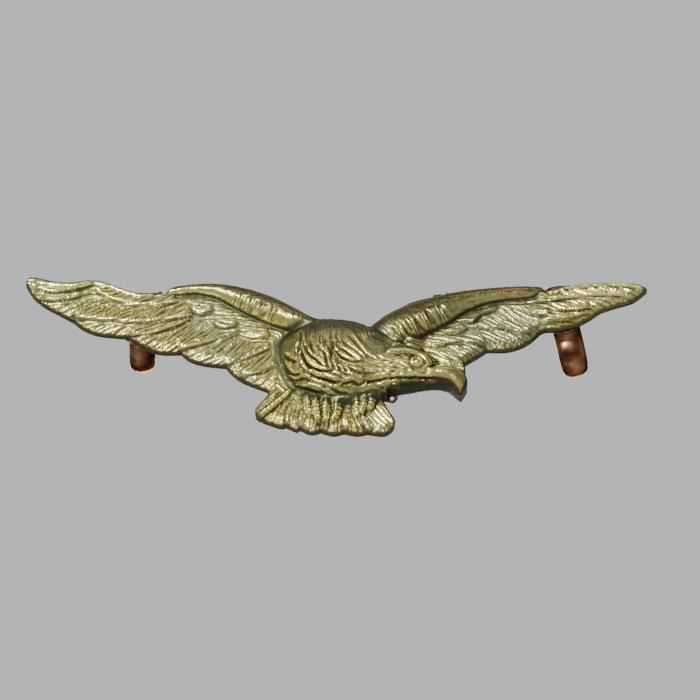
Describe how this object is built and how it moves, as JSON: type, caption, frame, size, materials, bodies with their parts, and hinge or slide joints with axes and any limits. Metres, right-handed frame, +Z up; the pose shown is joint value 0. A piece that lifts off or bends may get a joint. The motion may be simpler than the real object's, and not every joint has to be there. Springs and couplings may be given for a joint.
{
  "type": "cap badge",
  "caption": "Die-struck brass cap badge of an eagle in flight with its head turned, with wire lugs brazed to its flat back for a split pin.",
  "frame": {"origin": "on the flat back, midway between the wing tips and 1 mm below the top edge of the eagle's back", "axes": "+X is to the right of someone facing the badge, +Z is up as the badge is worn, and +Y points out of the flat back into the cap, so the relief faces -Y"},
  "size_m": [0.0499, 0.0098, 0.0137],
  "materials": {
    "brass": "die-struck brass, aged, grey-green patina in the recesses and worn golden on the ridges",
    "copper": "flattened copper wire, dark brown tarnish with bright rubbed edges",
    "braze": "dull brazing metal with a grainy surface"
  },
  "bodies": {
    "root": {"eagle": "brass", "lug_left": "copper", "lug_right": "copper", "braze_left_upper": "braze", "braze_left_lower": "braze", "braze_right_upper": "braze", "braze_right_lower": "braze"}
  },
  "joints": []
}
